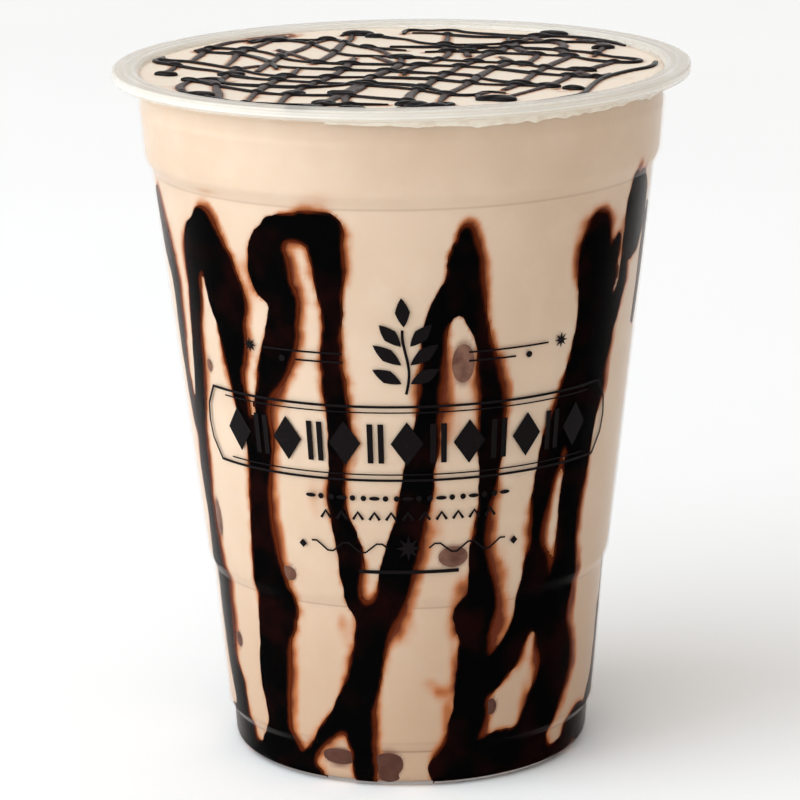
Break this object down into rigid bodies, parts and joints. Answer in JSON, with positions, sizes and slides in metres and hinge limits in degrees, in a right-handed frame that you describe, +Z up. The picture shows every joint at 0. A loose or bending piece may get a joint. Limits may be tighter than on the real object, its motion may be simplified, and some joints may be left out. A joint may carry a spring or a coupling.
{
  "type": "chocolate milkshake in a clear plastic cup",
  "caption": "Chocolate milkshake with chocolate syrup in a tall, tapered, clear plastic takeaway cup with a curled lip and stepped wall.",
  "frame": {"origin": "centre of the ring the cup stands on", "axes": "+Z up along the cup's axis; -Y faces the viewer"},
  "size_m": [0.098, 0.098, 0.119],
  "materials": {
    "clear_plastic": "clear, glossy PET",
    "shake": "smooth, softly glossy cream"
  },
  "bodies": {
    "root": {"cup": "clear_plastic", "milkshake": "shake"}
  },
  "joints": []
}
